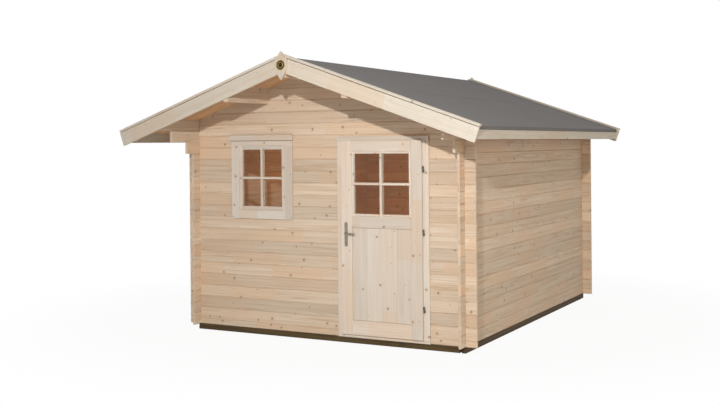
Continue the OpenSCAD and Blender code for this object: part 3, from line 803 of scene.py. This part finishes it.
def glass(name, tint):
    """Clear pane: mostly seen through, with a soft reflection and faint waves and dust."""
    made, tree, bsdf = shader(name, 0.04)
    place = node(tree, "ShaderNodeTexCoord").outputs["Object"]
    waves = noise(tree, place, 3.0, 2.0)
    dust = noise(tree, place, 30.0, 5.0, 0.7)
    bsdf.inputs["Base Color"].default_value = (*tint, 1)
    tree.links.new(levels(tree, dust, 0.4, 0.9, 0.03, 0.16), bsdf.inputs["Roughness"])
    bumped(tree, bsdf, waves, 0.08, 0.002)
    clear = node(tree, "ShaderNodeBsdfTransparent")
    clear.inputs["Color"].default_value = (*tint, 1)
    gloss = node(tree, "ShaderNodeMixShader")
    share = levels(tree, dust, 0.3, 0.9, 0.015, 0.05)
    tree.links.new(share, gloss.inputs[0])
    tree.links.new(clear.outputs[0], gloss.inputs[1])
    tree.links.new(bsdf.outputs[0], gloss.inputs[2])
    end = tree.nodes["Material Output"]
    tree.links.new(gloss.outputs[0], end.inputs["Surface"])
    return made


def bars(into, low, high, y0, y1, cross, dice):
    """An upright bar in full and a level bar in two halves, each with its edges eased."""
    middle = (low[0] + high[0]) / 2
    board(into, (middle - BAR_W / 2, y0, low[2]), (middle + BAR_W / 2, y1, high[2]), along="z",
          chamfer=0.003, dice=dice)
    for x0, x1 in ((low[0], middle - BAR_W / 2), (middle + BAR_W / 2, high[0])):
        board(into, (x0, y0, cross - BAR_W / 2), (x1, y1, cross + BAR_W / 2), along="x", chamfer=0.003, dice=dice)


pane_glass = glass("pane_glass", (0.93, 0.95, 0.94))
low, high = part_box("window_sash")
pane_low, pane_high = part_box("window_glass")
dice = random.Random(102)
bm = boards()
ringed(bm, low, high, STILE, dice, chamfer=0.003)
lap = STILE - BAR_LAP
for y0, y1 in ((low.y - BAR_T, low.y + 0.003), (high.y - 0.003, high.y + 0.0)):
    bars(bm, (low.x + lap, 0, low.z + lap), (high.x - lap, 0, high.z - lap), y0, y1, (low.z + high.z) / 2, dice)
bars(bm, (low.x + STILE, 0, low.z + STILE), (high.x - STILE, 0, high.z - STILE), low.y, pane_low.y - 0.001,
     (low.z + high.z) / 2, dice)
finished("window_sash_planed", bm, window_wood, replaces=["window_sash"])
bm = boards()
board(bm, pane_low, pane_high, along="x", chamfer=0.0005, dice=dice)
finished("window_pane", bm, pane_glass, replaces=["window_glass"])


# ---- Door frame -----------------------------------------------------------
# Two jambs and a head that grip the sawn edges of the logs, with a flat casing
# on each face of the wall, and a hardwood threshold under them.
door_wood = timber("door_wood", (0.80, 0.735, 0.65), (0.65, 0.52, 0.40), knots=0.34, contrast=0.55, spread=0.10,
                   roughness=0.52)
dice = random.Random(111)
for name, edge in (("door_jamb_left", 1), ("door_jamb_right", 0)):
    low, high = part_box(name)
    opening = (low, high)[edge].x
    bm = boards()
    for y0, y1 in ((low.y, front_y), (front_in, high.y)):
        board(bm, (low.x, y0, low.z), (high.x, y1, high.z), along="z", chamfer=0.002, dice=dice)
    x0, x1 = sorted((opening, opening + (-JAMB if edge else JAMB)))
    board(bm, (x0, front_y, low.z), (x1, front_in, high.z), along="z", dice=dice)
    finished(name + "_planed", bm, door_wood, replaces=[name])
low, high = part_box("door_head")
bm = boards()
for y0, y1 in ((low.y, front_y), (front_in, high.y)):
    board(bm, (low.x, y0, low.z), (high.x, y1, high.z), along="x", chamfer=0.002, dice=dice)
board(bm, (door_hole[0], front_y, low.z), (door_hole[1], front_in, low.z + JAMB), along="x", dice=dice)
finished("door_head_planed", bm, door_wood, replaces=["door_head"])
low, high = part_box("door_threshold")
bm = boards()
board(bm, low, high, along="x", chamfer=0.004, dice=dice)
finished("door_threshold_planed", bm, door_wood, replaces=["door_threshold"])


# ---- Door leaf ------------------------------------------------------------
# Stiles and rails tenoned together, with a lip at the sides and the top that
# laps over the frame. Two wooden pins hold each tenon of the middle rail.
LEAF_STILE = 0.112
LIP = 0.009
LIP_T = 0.020
SHOW = 0.003
low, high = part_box("door_leaf")
panel_low, panel_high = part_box("door_panel")
bead_low, bead_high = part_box("door_beads")
rails = ((low.z, panel_low.z), (panel_high.z, bead_low.z), (bead_high.z, high.z))
handle_low, handle_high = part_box("handle_plates")
lever_low, lever_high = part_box("door_lever")
cylinder_low, cylinder_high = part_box("lock_cylinder")
clear_in = jamb_left[1].x + 0.005
body_top = head[0].z - 0.005
dice = random.Random(121)
bm = boards()
for x0, x1, in0, in1 in (
    (low.x, low.x + LEAF_STILE, clear_in, low.x + LEAF_STILE),
    (high.x - LEAF_STILE, high.x, high.x - LEAF_STILE, low.x + high.x - clear_in),
):
    drift, tone = sawn(dice), dice.random()
    board(bm, (x0, low.y, low.z), (x1, low.y + LIP_T, high.z), along="z", chamfer=SHOW,
          corner=(x0, low.y, low.z), drift=drift, tone=tone)
    board(bm, (in0, low.y + LIP_T, low.z), (in1, high.y, body_top), along="z", chamfer=0.001,
          corner=(x0, low.y, low.z), drift=drift, tone=tone)
for z0, z1 in rails:
    drift, tone = sawn(dice), dice.random()
    x0, x1 = low.x + LEAF_STILE, high.x - LEAF_STILE
    board(bm, (x0, low.y, z0), (x1, low.y + LIP_T, z1), along="x", chamfer=SHOW * 0.7,
          corner=(x0, low.y, z0), drift=drift, tone=tone)
    board(bm, (x0, low.y + LIP_T, z0), (x1, high.y, min(z1, body_top)), along="x", chamfer=0.001,
          corner=(x0, low.y, z0), drift=drift, tone=tone)
finished("door_leaf_joined", bm, door_wood, body="door", replaces=["door_leaf"])


# ---- Boarded panel --------------------------------------------------------
# Upright tongued boards with a V at each joint, let into grooves in the frame.
PANEL_BOARDS = 4
V_PANEL = 0.004
dice = random.Random(131)
bm = boards()
width = (panel_high.x - panel_low.x) / PANEL_BOARDS
for i in range(PANEL_BOARDS):
    x = panel_low.x + i * width
    board(bm, (x, panel_low.y, panel_low.z), (x + width, panel_high.y, panel_high.z), along="z",
          chamfer=V_PANEL, ends=V_PANEL * 1.2, dice=dice)
finished("door_panel_boards", bm, door_wood, body="door", replaces=["door_panel"])


# ---- Door glazing ---------------------------------------------------------
# One pane held by beads, with a cross of slim bars outside and inside. The ends
# of the bars lap the stiles and rails.
BEAD_W = 0.022
BAR_PROUD = 0.005
BAR_PAST = 0.006
low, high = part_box("door_glass")
dice = random.Random(132)
bm = boards()
ringed(bm, (bead_low.x, bead_low.y, bead_low.z), (bead_high.x, low.y, bead_high.z), BEAD_W, dice, chamfer=0.005)
ringed(bm, (bead_low.x, high.y, bead_low.z), (bead_high.x, bead_high.y, bead_high.z), BEAD_W, dice, chamfer=0.005)
leaf_low, leaf_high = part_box("door_leaf")
for y0, y1 in ((leaf_low.y - BAR_PROUD, low.y), (high.y, leaf_high.y + BAR_PROUD)):
    bars(bm, (bead_low.x - BAR_PAST, 0, bead_low.z - BAR_PAST),
         (bead_high.x + BAR_PAST, 0, bead_high.z + BAR_PAST), y0, y1, (low.z + high.z) / 2, dice)
finished("door_beads_planed", bm, door_wood, body="door", replaces=["door_beads"])
bm = boards()
board(bm, low, high, along="x", chamfer=0.0005, dice=dice)
finished("door_pane", bm, pane_glass, body="door", replaces=["door_glass"])


# ---- Hinges ---------------------------------------------------------------
# Drilled-in lift-off hinges of browned iron. The lower knuckle, with the pin,
# is screwed into the frame and the upper one into the leaf.
hinge_iron = metal("hinge_iron", (0.17, 0.145, 0.115), 0.48, metallic=0.6)
KNUCKLE_R = 0.007
CAP_R = 0.0025
for name, body, capped in (("frame_hinges", "cabin", 0), ("leaf_hinges", "door", 1)):
    low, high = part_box(name)
    axis = Vector((high.x - KNUCKLE_R, low.y + KNUCKLE_R, 0))
    heights = sorted({round(v.co.z, 4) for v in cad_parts[name].data.vertices})
    feet = [z for k, z in enumerate(heights) if k == 0 or z - heights[k - 1] > 0.2]
    tall = 0.030
    bm = bmesh.new()
    for foot in feet:
        rounded = CAP_R if capped else 0.0006
        one = turned([(0, 0), (KNUCKLE_R - CAP_R * (1 - capped), 0), (KNUCKLE_R, CAP_R * (1 - capped)),
                      (KNUCKLE_R, tall - rounded), (KNUCKLE_R - rounded, tall), (0, tall)], steps=32)
        set_at(one, (axis.x, axis.y, foot), (0, 0, 1))
        if capped:
            web = ((leaf_high.x, axis.y - 0.0045, foot + 0.003), (axis.x, axis.y + 0.0045, foot + tall - 0.003))
        else:
            web = ((axis.x - 0.0045, axis.y, foot + 0.003), (axis.x + 0.0045, jamb_right[0].y, foot + tall - 0.003))
            pin = turned([(0, tall), (0.0038, tall), (0.0038, 2 * tall - 0.006), (0, 2 * tall - 0.005)], steps=24)
            set_at(pin, (axis.x, axis.y, foot), (0, 0, 1))
            scrap = bpy.data.meshes.new("scrap")
            pin.to_mesh(scrap)
            pin.free()
            one.from_mesh(scrap)
            bpy.data.meshes.remove(scrap)
        arm = boards()
        board(arm, *web, along="z", chamfer=0.001, drift=Vector((0, 0, 0)), tone=0)
        for made in (one, arm):
            scrap = bpy.data.meshes.new("scrap")
            made.to_mesh(scrap)
            made.free()
            bm.from_mesh(scrap)
            bpy.data.meshes.remove(scrap)
    finished(name + "_turned", bm, hinge_iron, body=body, replaces=[name])


# ---- Lock and lever -------------------------------------------------------
# Satin steel plates with rounded ends and eased edges, two screws in each, a
# round lock cylinder, and a bent lever on a spindle that goes right through.
satin = metal("satin_steel", (0.33, 0.30, 0.255), 0.36)
# The keyhole in each face of the cylinder is a near-black sliver: painted shade standing for the dark inside of the
# slot.
keyhole_shade = metal("keyway_painted_shade", (0.03, 0.03, 0.03), 0.6)
PLATE_T = 0.0025
PLATE_EASE = 0.0008
SIDES = 20
spindle = Vector((lever_low.x + 0.008, 0, (lever_low.z + lever_high.z) / 2))
cylinder_z = (cylinder_low.z + cylinder_high.z) / 2
plate_r = (handle_high.x - handle_low.x) / 2
bm = bmesh.new()
screws = []
for face, out in ((leaf_low.y, -1), (leaf_high.y, 1)):
    one = bmesh.new()
    bmesh.ops.create_circle(one, cap_ends=True, radius=plate_r, segments=48)
    run = (handle_high.z - handle_low.z) / 2 - plate_r
    for v in one.verts:
        v.co.y += run if v.co.y > 1e-6 else -run if v.co.y < -1e-6 else 0
    lift = bmesh.ops.extrude_face_region(one, geom=one.faces[:])
    raised = [g for g in lift["geom"] if isinstance(g, bmesh.types.BMVert)]
    bmesh.ops.translate(one, vec=(0, 0, PLATE_T), verts=raised)
    rim = [e for e in one.edges if all(v.co.z > PLATE_T / 2 for v in e.verts)]
    bmesh.ops.bevel(one, geom=rim, offset=PLATE_EASE, offset_type="OFFSET", affect="EDGES", segments=2,
                    profile=0.5, material=-1)
    bmesh.ops.recalc_face_normals(one, faces=one.faces)
    middle = (handle_low.z + handle_high.z) / 2
    set_at(one, (spindle.x, face, middle), (0, out, 0))
    scrap = bpy.data.meshes.new("scrap")
    one.to_mesh(scrap)
    one.free()
    bm.from_mesh(scrap)
    bpy.data.meshes.remove(scrap)
    for z in (handle_low.z + plate_r * 0.7, handle_high.z - plate_r * 0.7):
        screws.append((Vector((spindle.x, face + out * PLATE_T, z)), out))
finished("handle_plates_pressed", bm, satin, body="door", replaces=["handle_plates"])
for out, side in ((-1, "front"), (1, "back")):
    nails("handle_screws_" + side, [p for p, o in screws if o == out], Vector((0, out, 0)), 0.0014, nail_steel,
          body="door", radius=0.0034)
bm = turned([(0, 0), (0.0070, 0), (0.0085, 0.0015), (0.0085, cylinder_high.y - cylinder_low.y - 0.0015),
             (0.0070, cylinder_high.y - cylinder_low.y), (0, cylinder_high.y - cylinder_low.y)], steps=40)
set_at(bm, (spindle.x, cylinder_low.y, cylinder_z), (0, 1, 0))
finished("lock_cylinder_turned", bm, satin, body="door", replaces=["lock_cylinder"])
# A near-black sliver on each face of the cylinder: painted shade for the keyhole's slot.
for out, y, side in ((-1, cylinder_low.y, "front"), (1, cylinder_high.y, "back")):
    bm = boards()
    y0, y1 = sorted((y, y - out * 0.0015))
    board(bm, (spindle.x - 0.0009, y0 - 0.0001, cylinder_z - 0.005), (spindle.x + 0.0009, y1, cylinder_z + 0.003),
          along="z", chamfer=0.0003, drift=Vector((0, 0, 0)), tone=0)
    finished("keyway_" + side, bm, keyhole_shade, body="door")


def swept(stations):
    """An oval bar through stations of (place, turn about Z, half height, half width)."""
    made = bmesh.new()
    placed = []
    for place, turn, tall, wide in stations:
        placed.append(Matrix.Translation(place) @ Matrix.Rotation(turn, 4, "Z") @ Matrix.Rotation(math.pi / 2, 4, "Y")
                      @ Matrix.Diagonal((tall, wide, 1, 1)))
    verts = bmesh.ops.create_circle(made, cap_ends=True, radius=1.0, segments=SIDES)["verts"]
    bmesh.ops.transform(made, matrix=placed[0], verts=verts)
    ring = made.edges[:]
    for before, after in zip(placed, placed[1:]):
        grown = bmesh.ops.extrude_edge_only(made, edges=ring)["geom"]
        verts = [g for g in grown if isinstance(g, bmesh.types.BMVert)]
        ring = [g for g in grown if isinstance(g, bmesh.types.BMEdge)]
        bmesh.ops.transform(made, matrix=after @ before.inverted(), verts=verts)
    bmesh.ops.contextual_create(made, geom=ring)
    bmesh.ops.recalc_face_normals(made, faces=made.faces)
    return made


def lever(out):
    """One lever: a flared neck, a quick bend and a grip that thins towards its tip."""
    face = (handle_low.y if out < 0 else handle_high.y)
    grip_y = (lever_low.y + 0.008) if out < 0 else (lever_high.y - 0.008)
    reach = lever_high.x - spindle.x
    deep = abs(grip_y - face)
    path = [((0, 0.0), -90, 0.0105, 0.0105), ((0, 0.003), -90, 0.0105, 0.0105), ((0, 0.006), -90, 0.0080, 0.0080),
            ((0, deep - 0.014), -90, 0.0070, 0.0070), ((0.0015, deep - 0.007), -68, 0.0072, 0.0070),
            ((0.006, deep - 0.002), -42, 0.0076, 0.0066), ((0.013, deep), -10, 0.0078, 0.0060),
            ((0.045, deep + 0.0015), 0, 0.0079, 0.0052), ((reach - 0.022, deep), 5, 0.0078, 0.0050),
            ((reach - 0.008, deep - 0.003), 20, 0.0072, 0.0048), ((reach - 0.002, deep - 0.006), 35, 0.0055, 0.0036),
            ((reach - 0.0005, deep - 0.0072), 40, 0.0030, 0.0020)]
    stations = []
    for (x, off), turn, tall, wide in path:
        place = (spindle.x + x, face + out * off, spindle.z)
        stations.append((place, math.radians(turn if out < 0 else -turn), tall, wide))
    return swept(stations)


bm = bmesh.new()
rod = turned([(0, 0), (0.0048, 0), (0.0048, handle_high.y - handle_low.y), (0, handle_high.y - handle_low.y)], 24)
set_at(rod, (spindle.x, handle_low.y, spindle.z), (0, 1, 0))
for one in (rod, lever(-1), lever(1)):
    scrap = bpy.data.meshes.new("scrap")
    one.to_mesh(scrap)
    one.free()
    bm.from_mesh(scrap)
    bpy.data.meshes.remove(scrap)
finished("lever_bent", bm, satin, body="lever", replaces=["door_lever"], smooth=True)
